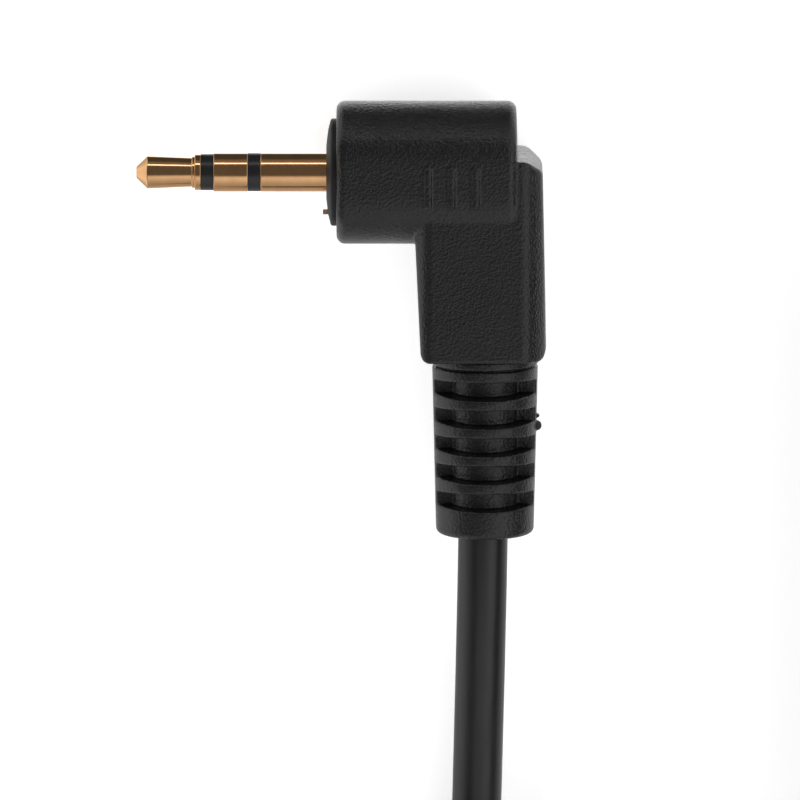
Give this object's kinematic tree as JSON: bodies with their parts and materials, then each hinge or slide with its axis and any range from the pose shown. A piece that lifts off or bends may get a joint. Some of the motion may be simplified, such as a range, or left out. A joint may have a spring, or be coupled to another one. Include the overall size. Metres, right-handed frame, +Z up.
{
  "type": "cable shutter release",
  "caption": "Wired camera shutter release: right-angle 2.5 mm plug with slotted strain relief, round cord in a tied coil, and hand switch with a two-stage button on a locking slide.",
  "frame": {"origin": "centre of the plug's seating shoulder, on the pin's axis", "axes": "-X is the way the pin points, -Y is the way the cord leaves the plug, +Z is up from the surface that the plug and hand switch lie on"},
  "size_m": [0.0727, 0.0928, 0.0186],
  "materials": {
    "gold": "gold-plated, polished",
    "pin_insulator": "moulded nylon bands",
    "contact_metal": "stamped, plated",
    "inner_moulding": "smooth moulded",
    "plug_pvc": "fine grained soft PVC",
    "wire_red": "extruded PVC",
    "wire_white": "extruded PVC",
    "wire_bare": "stranded copper",
    "cord_jacket": "smooth extruded PVC jacket",
    "cord_tie": "plastic-coated twist tie",
    "case_plastic": "fine grained ABS",
    "screw_steel": "zinc plated",
    "button_plastic": "satin moulded ABS",
    "slide_plastic": "satin moulded ABS",
    "inner_plastic": "moulded nylon",
    "block_plastic": "moulded nylon",
    "leaf_metal": "spring phosphor bronze"
  },
  "bodies": {
    "release": {"tip_contact": "gold", "tip_insulator": "pin_insulator", "ring_contact": "gold", "ring_insulator": "pin_insulator", "sleeve_contact": "gold", "tip_tag": "contact_metal", "ring_tag": "contact_metal", "ground_tag": "contact_metal", "inner_mould": "inner_moulding", "plug_housing": "plug_pvc", "strain_relief": "plug_pvc", "plug_wire_tip": "wire_red", "plug_wire_ring": "wire_white", "plug_wire_ground": "wire_bare", "cord_plug_side": "cord_jacket", "cord_coil": "cord_jacket", "cord_tie": "cord_tie", "cord_hand_side": "cord_jacket", "case_top": "case_plastic", "case_bottom": "case_plastic", "case_screws": "screw_steel", "detent_spring": "contact_metal", "contact_block": "block_plastic", "contact_screws": "screw_steel", "leaf_common": "leaf_metal", "leaf_focus": "leaf_metal", "leaf_release": "leaf_metal", "hand_grommet": "plug_pvc", "cord_clamp": "inner_plastic", "clamp_screws": "screw_steel", "hand_wire_common": "wire_white", "hand_wire_focus": "wire_red", "hand_wire_release": "wire_bare"},
    "lock_slide": {"lock_slide": "slide_plastic", "slide_keeper": "inner_plastic"},
    "release_button": {"release_button": "button_plastic"}
  },
  "joints": [
    {"name": "lock_travel", "type": "slide", "parent": "release", "child": "lock_slide", "axis": [0, 1, 0], "range_m": [0, 0.004], "deforming": ["detent_spring"]},
    {"name": "button_press", "type": "slide", "parent": "lock_slide", "child": "release_button", "axis": [0, 0, -1], "range_m": [0, 0.0015], "stiffness_N_per_m": 900, "springref_m": -0.0004, "deforming": ["leaf_common", "leaf_focus", "leaf_release"]}
  ]
}
